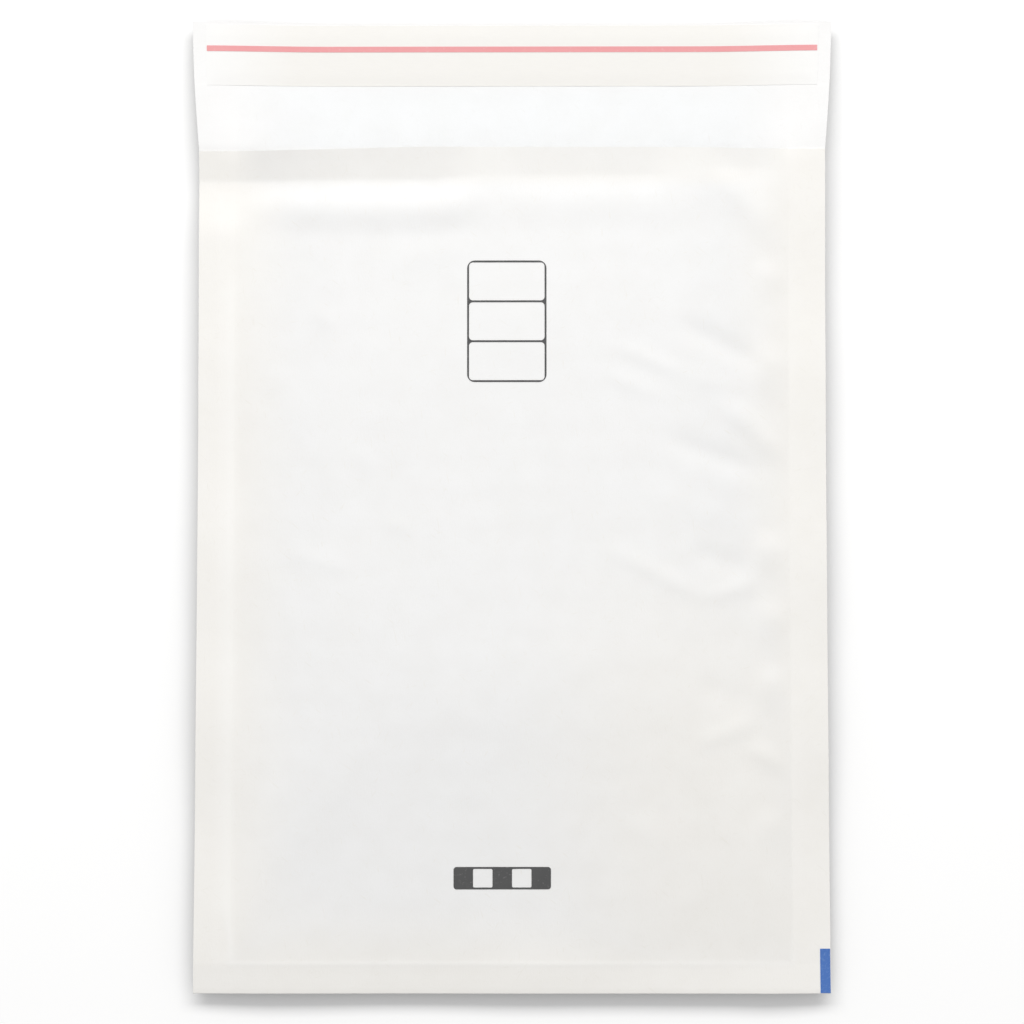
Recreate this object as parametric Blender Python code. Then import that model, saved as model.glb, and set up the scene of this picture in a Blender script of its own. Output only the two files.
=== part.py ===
"""A padded envelope with its flap opened out, lying on its back panel.

The pieces are the folded paper sheet, the bubble film liner inside it, the sealing strip on the
flap with its release paper, and the printed fields, which are thin films of ink.

Lengths are in metres and +Z is up. +Y runs from the bottom fold to the tip of the flap. The
origin is on the table, under the middle of the outline. A flat position (x, y) is a place on
the sheet before its sides draw in, and every piece is laid out in flat positions.
"""

import math

import bmesh
import bpy

# The paper sheet, pressed flat
WIDTH = 0.170
BODY_LENGTH = 0.225
FLAP_LENGTH = 0.034
PAPER = 0.00015
SIDE_MARGIN = 0.010
BOTTOM_MARGIN = 0.008

# The shape that the sheet takes round the liner
FRONT_SHOULDER = 0.028
BACK_SHOULDER = 0.020
SEAM_HEIGHT = 0.0044
WAIST = 0.0017
COLLAR_FOLD = 0.0030
COLLAR_DIP = 0.0012
LIP_DROP = 0.0003
HIP_POWER = 4

# The bubble film liner
FILM = 0.0024
POCKET = 0.0044
SEALED_FILM = 0.0004
SEAL_WIDTH = 0.003
COLLAR = 0.0115

# The space between pieces that lie on each other
CLEARANCE = 0.0003

# The sealing strip on the flap
STRIP_LENGTH = 0.1634
RELEASE_WIDTH = 0.0160
RELEASE_TO_TIP = 0.0006
RELEASE_PAPER = 0.0001
ADHESIVE_WIDTH = 0.0120
ADHESIVE = 0.0002

# The printed fields
INK = 0.00005
RED_LINE_WIDTH = 0.0016
RED_LINE_TO_TIP = 0.0070
MARK_WIDTH = 0.0027
MARK_LENGTH = 0.0118
MARK_TO_EDGE = 0.0001
PANEL_WIDTH = 0.0214
PANEL_HEIGHT = 0.0322
PANEL_CORNER = 0.0020
PANEL_LINE = 0.0005
PANEL_CELLS = 3
PANEL_CENTRE_X = -0.0014
PANEL_TO_LIP = 0.0462
TONE_LENGTH = 0.0260
TONE_HEIGHT = 0.0060
TONE_CORNER = 0.0008
TONE_LINE = 0.0005
TONE_WINDOWS = 2
TONE_CENTRE_X = -0.0026
TONE_TO_FOLD = 0.0310

# How finely the sheets are divided
FLAT_COLUMNS = 4
SHOULDER_STEPS = 7
FLAT_ROWS = 8
FOLD_ROWS = 2
COLLAR_ROWS = 3
FLAP_ROWS = 9
CORNER_STEPS = 6
WELD = 1e-6

# Places that follow from the sizes
HALF_WIDTH = WIDTH / 2
BOTTOM_Y = -(BODY_LENGTH + FLAP_LENGTH) / 2
LIP_Y = BOTTOM_Y + BODY_LENGTH
TIP_Y = LIP_Y + FLAP_LENGTH
PAD_HALF = HALF_WIDTH - SIDE_MARGIN
PAD_BOTTOM_Y = BOTTOM_Y + BOTTOM_MARGIN
LINER_TOP_Y = LIP_Y - COLLAR
SPACE = 2 * FILM + POCKET + 2 * CLEARANCE
EDGE_SHARE = math.asin((SEALED_FILM + 2 * CLEARANCE) / SPACE) / (math.pi / 2)
LINER_EDGE = FRONT_SHOULDER * EDGE_SHARE * 2 ** (1 / HIP_POWER)
CAVITY_EDGE = LINER_EDGE + SEAL_WIDTH
COLLAR_FOLD_Y = LINER_TOP_Y + COLLAR_FOLD


def swell(distance, run):
    """A quarter sine: 0 up to distance 0, and 1 from distance run on."""
    return math.sin(math.pi / 2 * min(max(distance / run, 0.0), 1.0))


def ease(distance, run):
    """A smooth step: 0 up to distance 0, and 1 from distance run on."""
    t = min(max(distance / run, 0.0), 1.0)
    return t * t * (3 - 2 * t)


def inside(x, y, inset=0.0):
    """How far a flat position lies inside the padded area, from an inset of its glued edges.

    The distances from the side and from the bottom are blended, which rounds the hips at the
    bottom corners. Both need to be positive for that.
    """
    side = PAD_HALF - abs(x) - inset
    bottom = y - PAD_BOTTOM_Y - inset
    if min(side, bottom) <= 0:
        return min(side, bottom)
    return (side**-HIP_POWER + bottom**-HIP_POWER) ** (-1 / HIP_POWER)


def drawn_in(y):
    """The share of the flat width that is left where the full envelope pulls its sides in."""
    if y <= LIP_Y:
        pull = swell(y - BOTTOM_Y, BODY_LENGTH)
    else:
        pull = 1 - swell(y - LIP_Y, FLAP_LENGTH)
    return 1 - WAIST * pull / HALF_WIDTH


def back_under(x, y):
    """The underside of the back panel and the flap: on the table, and raised at the edges."""
    raised = SEAM_HEIGHT * (1 - ease(y - LIP_Y, FLAP_LENGTH))
    return raised * (1 - swell(inside(x, y), BACK_SHOULDER))


def back_over(x, y):
    return back_under(x, y) + PAPER


def collar_drop(y):
    """How far the bare collar sinks past the liner's edge: down to its fold, then up to the lip."""
    if y <= COLLAR_FOLD_Y:
        return COLLAR_DIP * ease(y - LINER_TOP_Y, COLLAR_FOLD)
    rise = (y - COLLAR_FOLD_Y) / (LIP_Y - COLLAR_FOLD_Y)
    return COLLAR_DIP + (LIP_DROP - COLLAR_DIP) * rise


def front_under(x, y):
    """The inner face of the front panel, which meets the back panel at the glued edges."""
    height = SPACE - collar_drop(min(y, LIP_Y))
    return back_over(x, y) + height * swell(inside(x, y), FRONT_SHOULDER)


def front_over(x, y):
    return front_under(x, y) + PAPER


def liner_under(x, y):
    return back_over(x, y) + CLEARANCE


def liner_over(x, y):
    return front_under(x, y) - CLEARANCE


def liner_cavity(x, y):
    """The height of the pocket between the two layers of film."""
    return POCKET * swell(inside(x, y, CAVITY_EDGE), FRONT_SHOULDER - CAVITY_EDGE)


def liner_floor(x, y):
    """The inner face of the lower layer of film."""
    film = (liner_over(x, y) - liner_under(x, y) - liner_cavity(x, y)) / 2
    return liner_under(x, y) + film


def liner_ceiling(x, y):
    return liner_floor(x, y) + liner_cavity(x, y)


def spread(start, end, cells):
    """The cells + 1 evenly spaced values from start to end."""
    return [start + (end - start) * k / cells for k in range(cells + 1)]


def shoulder_insets():
    """Distances from the glued edge at which both the sheet and the liner have a grid line."""
    return [0.0, LINER_EDGE] + spread(CAVITY_EDGE, FRONT_SHOULDER, SHOULDER_STEPS)


def columns_within(first_inset, outer=None):
    """Grid columns across the padded area from an inset on, and out to x = outer if given."""
    half = spread(0.0, PAD_HALF - FRONT_SHOULDER, FLAT_COLUMNS)
    insets = [d for d in shoulder_insets() if first_inset <= d < FRONT_SHOULDER]
    half += [PAD_HALF - d for d in reversed(insets)]
    if outer is not None:
        half = [x for x in half if x < outer - WELD] + [outer]
    return [-x for x in reversed(half[1:])] + half


def rows_within(first_inset):
    """Grid rows from an inset above the bottom margin up to the liner's top edge."""
    rising = [PAD_BOTTOM_Y + d for d in shoulder_insets() if first_inset <= d < FRONT_SHOULDER]
    return rising + spread(PAD_BOTTOM_Y + FRONT_SHOULDER, LINER_TOP_Y, FLAT_ROWS)


def faces_at(verts):
    """Each face that uses any of the vertices, once, in a fixed order."""
    return list(dict.fromkeys(face for vert in verts for face in vert.link_faces))


def slab(bm, columns, rows, under, over):
    """Adds a closed slab between two heights and returns its lower and its upper faces.

    Its cells are split along the lines that run from the bottom corners, where the padding has
    its hips.
    """
    grid = bmesh.ops.create_grid(
        bm, x_segments=len(columns) - 1, y_segments=len(rows) - 1, size=1.0
    )["verts"]
    for vert in grid:
        column = round((vert.co.x + 1) / 2 * (len(columns) - 1))
        row = round((vert.co.y + 1) / 2 * (len(rows) - 1))
        vert.co = (columns[column], rows[row], under(columns[column], rows[row]))
    for face in faces_at(grid):
        lean = -1 if face.calc_center_median().x < 0 else 1
        ends = sorted(face.verts, key=lambda vert: vert.co.y - lean * vert.co.x)
        bmesh.utils.face_split(face, ends[0], ends[-1])
    lower = faces_at(grid)
    raised = bmesh.ops.extrude_face_region(bm, geom=lower, use_keep_orig=True)["geom"]
    for vert in (item for item in raised if isinstance(item, bmesh.types.BMVert)):
        vert.co.z = over(vert.co.x, vert.co.y)
    return lower, [item for item in raised if isinstance(item, bmesh.types.BMFace)]


def weld_plies(bm, facing, edge):
    """Removes the faces that meet outside an inset, and joins the two plies along their rims."""
    glued = []
    for face in facing:
        centre = face.calc_center_median()
        if centre.y < LIP_Y and inside(centre.x, centre.y) < edge:
            glued.append(face)
    bmesh.ops.delete(bm, geom=glued, context="FACES")
    bmesh.ops.remove_doubles(bm, verts=bm.verts, dist=WELD)


def plain_material(name, colour, roughness):
    material = bpy.data.materials.new(name)
    material.use_nodes = True
    shader = material.node_tree.nodes["Principled BSDF"]
    shader.inputs["Base Color"].default_value = (*colour, 1.0)
    shader.inputs["Roughness"].default_value = roughness
    shader.inputs["Metallic"].default_value = 0.0
    material.diffuse_color = (*colour, 1.0)
    return material


def add_piece(bm, name, colour, roughness):
    """Draws the sides in, makes the object with its own material and puts it in the collection."""
    for vert in bm.verts:
        vert.co.x *= drawn_in(vert.co.y)
    bmesh.ops.recalc_face_normals(bm, faces=bm.faces)
    mesh = bpy.data.meshes.new(name)
    bm.to_mesh(mesh)
    bm.free()
    mesh.shade_smooth()
    mesh.set_sharp_from_angle(angle=math.radians(30))
    mesh.materials.append(plain_material(name, colour, roughness))
    piece = bpy.data.objects.new(name, mesh)
    piece.parent = bpy.data.objects["envelope"]
    bpy.data.collections["padded_envelope"].objects.link(piece)
    return piece


def add_outer_paper():
    """One folded sheet: the back panel with its flap, the front panel and the glued edges."""
    bm = bmesh.new()
    columns = columns_within(0.0)
    columns = [-HALF_WIDTH] + columns + [HALF_WIDTH]
    panel_rows = [BOTTOM_Y] + rows_within(0.0)
    panel_rows += spread(LINER_TOP_Y, COLLAR_FOLD_Y, FOLD_ROWS)[1:]
    panel_rows += spread(COLLAR_FOLD_Y, LIP_Y, COLLAR_ROWS)[1:]
    flap_rows = spread(LIP_Y, TIP_Y, FLAP_ROWS)[1:]
    _, back_inner = slab(bm, columns, panel_rows + flap_rows, back_under, back_over)
    front_inner, _ = slab(bm, columns, panel_rows, front_under, front_over)
    weld_plies(bm, back_inner + front_inner, 0.0)
    return add_piece(bm, "outer_paper", (0.90, 0.89, 0.86), 0.75)


def add_bubble_liner():
    """The film pouch, welded along its sides and folded bottom and open at the mouth."""
    bm = bmesh.new()
    columns = columns_within(LINER_EDGE)
    rows = rows_within(LINER_EDGE)
    _, floor = slab(bm, columns, rows, liner_under, liner_floor)
    ceiling, _ = slab(bm, columns, rows, liner_ceiling, liner_over)
    weld_plies(bm, floor + ceiling, CAVITY_EDGE)
    return add_piece(bm, "bubble_liner", (0.80, 0.84, 0.86), 0.25)


def flap_layer(level, thickness):
    """The two heights of a layer that lies a given height above the flap's inner face."""

    def under(x, y):
        return back_over(x, y) + level

    def over(x, y):
        return back_over(x, y) + level + thickness

    return under, over


def add_flap_strip(name, width, to_tip, level, thickness, colour, roughness):
    """A strip across the flap, draped over it, with its upper edge to_tip below the tip."""
    bm = bmesh.new()
    rows = [TIP_Y - to_tip - width, TIP_Y - to_tip - width / 2, TIP_Y - to_tip]
    columns = columns_within(0.0, STRIP_LENGTH / 2)
    slab(bm, columns, rows, *flap_layer(level, thickness))
    return add_piece(bm, name, colour, roughness)


def add_sealing_strip():
    """The adhesive band, the release paper that covers it and the line printed on that paper."""
    adhesive_to_tip = RELEASE_TO_TIP + (RELEASE_WIDTH - ADHESIVE_WIDTH) / 2
    release_level = CLEARANCE + ADHESIVE + CLEARANCE
    line_level = release_level + RELEASE_PAPER + CLEARANCE
    line_to_tip = RED_LINE_TO_TIP - RED_LINE_WIDTH / 2
    add_flap_strip(
        "adhesive_strip", ADHESIVE_WIDTH, adhesive_to_tip, CLEARANCE, ADHESIVE,
        (0.86, 0.82, 0.66), 0.3,
    )
    add_flap_strip(
        "release_paper", RELEASE_WIDTH, RELEASE_TO_TIP, release_level, RELEASE_PAPER,
        (0.91, 0.90, 0.85), 0.35,
    )
    add_flap_strip(
        "red_line", RED_LINE_WIDTH, line_to_tip, line_level, INK, (0.78, 0.20, 0.22), 0.5,
    )


def print_under(x, y):
    return front_over(x, y) + CLEARANCE


def print_over(x, y):
    return front_over(x, y) + CLEARANCE + INK


def add_edge_mark():
    """The blue field at the right end of the bottom fold, which guides the cutting machine."""
    bm = bmesh.new()
    right = HALF_WIDTH - MARK_TO_EDGE
    columns = [right - MARK_WIDTH, right]
    rows = [BOTTOM_Y, BOTTOM_Y + MARK_LENGTH]
    slab(bm, columns, rows, print_under, print_over)
    return add_piece(bm, "edge_mark", (0.10, 0.20, 0.47), 0.6)


def rounded_outline(curve, centre, width, height, radius):
    """Adds a closed spline round a rectangle with rounded corners."""
    corners = [(1, 1, 0), (-1, 1, 90), (-1, -1, 180), (1, -1, 270)]
    points = []
    for side_x, side_y, start in corners:
        hub_x = centre[0] + side_x * (width / 2 - radius)
        hub_y = centre[1] + side_y * (height / 2 - radius)
        for degrees in spread(start, start + 90, CORNER_STEPS):
            turn = math.radians(degrees)
            points.append((hub_x + radius * math.cos(turn), hub_y + radius * math.sin(turn)))
    spline = curve.splines.new("POLY")
    spline.points.add(len(points) - 1)
    for point, (x, y) in zip(spline.points, points):
        point.co = (x, y, 0.0, 1.0)
    spline.use_cyclic_u = True


def add_print(name, centre, size, corner, windows, colour):
    """A printed field with rounded corners and windows, draped over the front panel."""
    curve = bpy.data.curves.new(name + "_outline", "CURVE")
    curve.dimensions = "2D"
    curve.fill_mode = "BOTH"
    curve.extrude = INK / 2
    rounded_outline(curve, centre, *size, corner)
    for window_centre, window_size in windows:
        rounded_outline(curve, window_centre, *window_size, corner / 2)
    outline = bpy.data.objects.new(name + "_outline", curve)
    bpy.data.collections["padded_envelope"].objects.link(outline)
    bpy.context.view_layer.update()
    seen = outline.evaluated_get(bpy.context.evaluated_depsgraph_get())
    mesh = bpy.data.meshes.new_from_object(seen)
    bpy.data.objects.remove(outline)
    bm = bmesh.new()
    bm.from_mesh(mesh)
    bpy.data.meshes.remove(mesh)
    bmesh.ops.remove_doubles(bm, verts=bm.verts, dist=WELD)
    for vert in bm.verts:
        height = print_over if vert.co.z > 0 else print_under
        vert.co.z = height(vert.co.x, vert.co.y)
    return add_piece(bm, name, colour, 0.6)


def add_ruled_panel():
    """A framed panel of plain ruled cells, printed near the mouth."""
    centre = (PANEL_CENTRE_X, LIP_Y - PANEL_TO_LIP)
    cell_width = PANEL_WIDTH - 2 * PANEL_LINE
    cell_height = (PANEL_HEIGHT - PANEL_LINE) / PANEL_CELLS - PANEL_LINE
    pitch = cell_height + PANEL_LINE
    windows = []
    for k in range(PANEL_CELLS):
        y = centre[1] + (k - (PANEL_CELLS - 1) / 2) * pitch
        windows.append(((centre[0], y), (cell_width, cell_height)))
    size = (PANEL_WIDTH, PANEL_HEIGHT)
    return add_print("ruled_panel", centre, size, PANEL_CORNER, windows, (0.12, 0.12, 0.12))


def add_tone_strip():
    """A strip of alternately filled and open fields, printed above the bottom fold."""
    centre = (TONE_CENTRE_X, BOTTOM_Y + TONE_TO_FOLD)
    pitch = TONE_LENGTH / (2 * TONE_WINDOWS + 1)
    windows = []
    for k in range(TONE_WINDOWS):
        x = centre[0] + (2 * k - TONE_WINDOWS + 1) * pitch
        windows.append(((x, centre[1]), (pitch, TONE_HEIGHT - 2 * TONE_LINE)))
    size = (TONE_LENGTH, TONE_HEIGHT)
    return add_print("tone_strip", centre, size, TONE_CORNER, windows, (0.12, 0.12, 0.12))


def start_scene():
    """Empties the scene and makes the collection and the empty that carries the pieces."""
    for old in list(bpy.data.objects):
        bpy.data.objects.remove(old)
    collection = bpy.data.collections.new("padded_envelope")
    bpy.context.scene.collection.children.link(collection)
    collection.objects.link(bpy.data.objects.new("envelope", None))


def main():
    start_scene()
    add_outer_paper()
    add_bubble_liner()
    add_sealing_strip()
    add_edge_mark()
    add_ruled_panel()
    add_tone_strip()


main()
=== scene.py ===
# %% [markdown]
# # A padded envelope, dressed for its photograph
#
# The object is a white paper envelope with a pouch of bubble film inside. It lies on its back and
# is seen from straight above, with the flap opened out at the top of the picture.
#
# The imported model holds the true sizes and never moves. This script covers it with finer pieces:
# one folded sheet of paper, the film and its bubbles, the sealing strip and the printed fields.

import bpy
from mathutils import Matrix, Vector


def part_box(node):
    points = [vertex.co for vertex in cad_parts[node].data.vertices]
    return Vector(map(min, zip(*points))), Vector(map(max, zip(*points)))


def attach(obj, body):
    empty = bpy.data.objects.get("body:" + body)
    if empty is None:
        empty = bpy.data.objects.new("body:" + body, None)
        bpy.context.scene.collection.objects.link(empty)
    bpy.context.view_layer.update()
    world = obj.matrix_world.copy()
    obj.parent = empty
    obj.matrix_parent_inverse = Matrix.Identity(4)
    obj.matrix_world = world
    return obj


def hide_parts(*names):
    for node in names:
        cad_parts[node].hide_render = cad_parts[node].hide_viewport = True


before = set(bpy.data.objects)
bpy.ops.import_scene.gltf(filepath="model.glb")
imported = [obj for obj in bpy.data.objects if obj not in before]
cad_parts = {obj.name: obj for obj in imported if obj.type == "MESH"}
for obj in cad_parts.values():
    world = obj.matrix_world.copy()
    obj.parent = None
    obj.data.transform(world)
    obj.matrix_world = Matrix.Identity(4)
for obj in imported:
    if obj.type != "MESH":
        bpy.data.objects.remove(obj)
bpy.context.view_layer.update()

# %% [markdown]
# ## Sizes
#
# The outline, the lip and the liner's edge could be typed in again, but a typed number drifts from
# the model when the model changes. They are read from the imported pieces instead. What a box can't
# tell, such as a shoulder's width, is repeated here as a named size in metres.

# %% Read the sizes that the pieces share
import math

import bmesh
import bpy
import numpy as np

paper_low, paper_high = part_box("outer_paper")
liner_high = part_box("bubble_liner")[1]

PAPER = 0.00015
FLAP_LENGTH = 0.034
SIDE_MARGIN = 0.010
BOTTOM_MARGIN = 0.008

HALF_WIDTH = paper_high.x
BOTTOM_Y = paper_low.y
TIP_Y = paper_high.y
LIP_Y = TIP_Y - FLAP_LENGTH
LINER_TOP_Y = liner_high.y
PAD_HALF = HALF_WIDTH - SIDE_MARGIN
PAD_BOTTOM_Y = BOTTOM_Y + BOTTOM_MARGIN
print("body from", round(BOTTOM_Y, 4), "to", round(LIP_Y, 4), "and flap to", round(TIP_Y, 4))

# %% [markdown]
# ## The studio
#
# The photograph looks straight down from far above, so parallel edges stay parallel. A long lens
# one metre above the outline gives that, and its focal length follows from the width of table in
# the picture.

# %% Camera
CAMERA_HEIGHT = 1.0
PHOTO_WIDTH = 0.2726
VIEW_CENTRE_Y = -0.0012
SENSOR = 36.0
OUTLINE_LEVEL = 0.0044


def add_object(name, data):
    """Puts a camera, a lamp, a mesh or a curve in the scene as an object at the origin."""
    made = bpy.data.objects.new(name, data)
    bpy.context.scene.collection.objects.link(made)
    return made


camera_data = bpy.data.cameras.new("copy_stand")
camera_data.sensor_width = SENSOR
camera_data.lens = SENSOR * CAMERA_HEIGHT / PHOTO_WIDTH
camera_data.clip_end = 20.0
camera = add_object("copy_stand", camera_data)
camera.location = (0.0, VIEW_CENTRE_Y, CAMERA_HEIGHT + OUTLINE_LEVEL)
bpy.context.scene.camera = camera
bpy.context.scene.view_settings.view_transform = "Standard"
print("lens, mm:", round(camera_data.lens, 1))

# %% [markdown]
# Materials and the world are node trees. Typing every link by hand hides what a tree does, so one
# helper makes a node, sets its options and either fills each input or links it. Two short ones
# build on it, for a mix of colours and a step of arithmetic.

# %% Helpers for nodes
def add_node(tree, kind, inputs=None, **options):
    """Makes a node. An input may be a plain value or the output of another node."""
    made = tree.nodes.new(kind)
    for name, value in options.items():
        setattr(made, name, value)
    for name, value in (inputs or {}).items():
        if isinstance(value, bpy.types.NodeSocket):
            tree.links.new(value, made.inputs[name])
        else:
            made.inputs[name].default_value = value
    return made


def mixed(tree, share, first, second, blend="MIX"):
    """Mixes two colours. Each may be a colour or the output of a node."""
    return add_node(
        tree, "ShaderNodeMix", {0: share, 6: first, 7: second}, data_type="RGBA", blend_type=blend
    ).outputs[2]


def combined(tree, operation, first, second):
    """One step of arithmetic on two values."""
    return add_node(tree, "ShaderNodeMath", {0: first, 1: second}, operation=operation).outputs[0]


def seen_directly(tree):
    """1 for a ray from the camera, from a mirror-like surface or through clear film, else 0."""
    ray = add_node(tree, "ShaderNodeLightPath").outputs
    camera_or_glossy = combined(tree, "MAXIMUM", ray["Is Camera Ray"], ray["Is Glossy Ray"])
    return combined(tree, "MAXIMUM", camera_or_glossy, ray["Is Transmission Ray"])


# %% [markdown]
# The background of the picture is white, and the only dark lines round the envelope are its soft
# shadows. More light would bleach the paper, so the table gets a little glow that only direct
# looks can see. It lifts the table to white, and the shadow stays. A white table would also
# throw much light under the raised margins and thin the shadow there, so what bounces off it
# comes from a grey one.

# %% World and floor
SKY_STRENGTH = 0.56
WHITE = (1.0, 1.0, 1.0, 1.0)
TABLE_BOUNCE = (0.25, 0.25, 0.25, 1.0)
FLOOR_GLOW = 0.04
FLOOR_SIZE = 6.0
FLOOR_LEVEL = -0.0001

world = bpy.data.worlds.new("white_room")
world.use_nodes = True
world.node_tree.nodes.clear()
sky_light = add_node(
    world.node_tree, "ShaderNodeBackground", {"Color": WHITE, "Strength": SKY_STRENGTH}
)
sky_seen = add_node(world.node_tree, "ShaderNodeBackground", {"Color": WHITE, "Strength": 1.0})
sky_mix = add_node(
    world.node_tree, "ShaderNodeMixShader",
    {0: seen_directly(world.node_tree), 1: sky_light.outputs[0], 2: sky_seen.outputs[0]},
)
add_node(world.node_tree, "ShaderNodeOutputWorld", {"Surface": sky_mix.outputs[0]})
bpy.context.scene.world = world

floor_material = bpy.data.materials.new("white_table")
floor_material.use_nodes = True
floor_tree = floor_material.node_tree
floor_tree.nodes.clear()
direct_look = seen_directly(floor_tree)
table_colour = mixed(floor_tree, direct_look, TABLE_BOUNCE, WHITE)
floor_diffuse = add_node(floor_tree, "ShaderNodeBsdfDiffuse", {"Color": table_colour})
glow_level = combined(floor_tree, "MULTIPLY", direct_look, FLOOR_GLOW)
floor_glow = add_node(floor_tree, "ShaderNodeEmission", {"Strength": glow_level})
floor_sum = add_node(
    floor_tree, "ShaderNodeAddShader", {0: floor_diffuse.outputs[0], 1: floor_glow.outputs[0]}
)
add_node(floor_tree, "ShaderNodeOutputMaterial", {"Surface": floor_sum.outputs[0]})

floor_mesh = bpy.data.meshes.new("table_top")
half_floor = FLOOR_SIZE / 2
floor_mesh.from_pydata(
    [
        (-half_floor, -half_floor, FLOOR_LEVEL), (half_floor, -half_floor, FLOOR_LEVEL),
        (half_floor, half_floor, FLOOR_LEVEL), (-half_floor, half_floor, FLOOR_LEVEL),
    ],
    [], [(0, 1, 2, 3)],
)
floor_mesh.materials.append(floor_material)
floor = add_object("table_top", floor_mesh)
print("floor glow:", FLOOR_GLOW, "and sky strength:", SKY_STRENGTH)

# %% [markdown]
# The light comes from beyond the flap: the top of the picture is a little brighter than the bottom,
# and the shadow falls below the bottom fold. A sun would light both ends alike, so this is a lamp
# some 1.4 m away, whose light fades slightly over the envelope's length. It is as wide as a
# window, so the shadows beside the envelope are broad and soft, and low, so the one below is firm.

# %% Key lamp
KEY_PLACE = (-0.02, 1.00, 0.97)
KEY_AIM = (0.0, 0.03, 0.0)
KEY_SIZE = (2.20, 0.51)
KEY_POWER = 17.4
KEY_COLOUR = (1.0, 0.997, 0.990)

key_data = bpy.data.lights.new("window_light", "AREA")
key_data.shape = "RECTANGLE"
key_data.size, key_data.size_y = KEY_SIZE
key_data.energy = KEY_POWER
key_data.color = KEY_COLOUR
key = add_object("window_light", key_data)
key.location = KEY_PLACE
key_gaze = [aim - place for aim, place in zip(KEY_AIM, KEY_PLACE)]
key.rotation_euler = (
    math.atan2(math.hypot(key_gaze[0], key_gaze[1]), -key_gaze[2]),
    0.0,
    math.atan2(key_gaze[1], key_gaze[0]) - math.pi / 2,
)
print("lamp distance, m:", round(math.dist(KEY_PLACE, KEY_AIM), 2))

# %% [markdown]
# ## The padded shape
#
# An empty padded envelope is a flat pillow. Its glued margins stand a few millimetres off the
# table, and the sheet swells from them to a flat middle over rounded shoulders. It could be
# sculpted or blown up by a simulation, but a rule gives the same form each time and fits the
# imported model. The bottom shoulder is much longer than the side ones, because the folded end of
# the liner is stiff. All rules take whole arrays of flat positions.

# %% The rules of the pillow
FRONT_RUNS = (0.030, 0.084)
BACK_RUNS = (0.024, 0.060)
SEAM_HEIGHT = 0.0044
WAIST = 0.0017
HIP_POWER = 4
SPACE = 0.0098
GLUE = 0.00003
PLIES = 2 * PAPER + GLUE


def swell(distance, run):
    """A quarter sine: 0 up to distance 0, and 1 from distance run on."""
    return np.sin(np.pi / 2 * np.clip(distance / run, 0.0, 1.0))


def ease(distance, run):
    """A smooth step: 0 up to distance 0, and 1 from distance run on."""
    t = np.clip(distance / run, 0.0, 1.0)
    return t * t * (3 - 2 * t)


def step(value, span):
    """A smooth step that starts at span[0] and takes span[1]."""
    return ease(value - span[0], span[1])


def inside(x, y, runs=(1.0, 1.0), inset=0.0):
    """How far a flat position lies within the padded area, with rounded bottom corners.

    It is in metres, or a share of the runs from the sides and from the bottom if they are given.
    """
    side = (PAD_HALF - np.abs(x) - inset) / runs[0]
    bottom = (y - PAD_BOTTOM_Y - inset) / runs[1]
    nearest = np.minimum(side, bottom)
    side_safe = np.maximum(side, 1e-9)
    bottom_safe = np.maximum(bottom, 1e-9)
    blended = (side_safe**-HIP_POWER + bottom_safe**-HIP_POWER) ** (-1 / HIP_POWER)
    return np.where(nearest <= 0, nearest, blended)


def drawn_in(y):
    """The share of the flat width that is left where the pillow pulls its sides in."""
    body = swell(y - BOTTOM_Y, LIP_Y - BOTTOM_Y)
    flap = 1 - swell(y - LIP_Y, FLAP_LENGTH)
    return 1 - WAIST * np.where(y <= LIP_Y, body, flap) / HALF_WIDTH


def bump(distance, width):
    """A soft ridge: 1 at distance 0, and next to nothing beyond twice its width."""
    return np.exp(-((distance / width) ** 2))


def through(x, stops):
    """A curve through (place, value) pairs that is level at each of them."""
    places = np.array([place for place, _ in stops])
    values = np.array([value for _, value in stops])
    k = np.clip(np.searchsorted(places, x, side="right") - 1, 0, len(places) - 2)
    t = np.clip((x - places[k]) / (places[k + 1] - places[k]), 0.0, 1.0)
    return values[k] + (values[k + 1] - values[k]) * t * t * (3 - 2 * t)


def front_swell(x, y, inset=0.0):
    """The share of its full height that the padding has under the front panel."""
    return swell(inside(x, y, [run - inset for run in FRONT_RUNS], inset), 1.0)


print("plies at the margins, mm:", round(1000 * PLIES, 2))

# %% [markdown]
# Real paper is never as smooth as a rule. It has long shallow waves, and in a padded envelope the
# bubbles press a faint quilt into it. Both could be bump in the material, but then the edges
# would stay straight in a view from the side, so they move the sheet itself.

# %% Waves and the print of the bubbles
BUBBLE_PITCH = 0.0105
BUBBLE_ROWS = 23
BUBBLE_ROW_PITCH = BUBBLE_PITCH * math.sqrt(3) / 2
FIRST_ROW_TO_MOUTH = 0.0055
BUBBLE_MIDDLE_Y = LINER_TOP_Y - FIRST_ROW_TO_MOUTH - (BUBBLE_ROWS // 2) * BUBBLE_ROW_PITCH
QUILT_HEIGHT = 0.00003


def waves(x, y, seed, length, height, count=7):
    """A mix of shallow waves in all directions, always the same for one seed."""
    draw = np.random.default_rng(seed)
    total = np.zeros(np.broadcast(x, y).shape)
    for _ in range(count):
        turn = draw.uniform(0.0, math.pi)
        span = length * draw.uniform(0.7, 1.5)
        shift = draw.uniform(0.0, 2 * math.pi)
        total += np.sin(2 * math.pi * (x * math.cos(turn) + y * math.sin(turn)) / span + shift)
    return height * total / math.sqrt(count)


def quilt(x, y):
    """1 over the middle of each bubble and below 0 between them, in rows set half a step apart."""
    step = 2 * math.pi / BUBBLE_PITCH
    lean = (y - BUBBLE_MIDDLE_Y) / math.sqrt(3)
    return (np.cos(step * (x - lean)) + np.cos(2 * step * lean) + np.cos(step * (x + lean))) / 3


print("bubble rows, mm apart:", round(1000 * BUBBLE_ROW_PITCH, 2))

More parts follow.
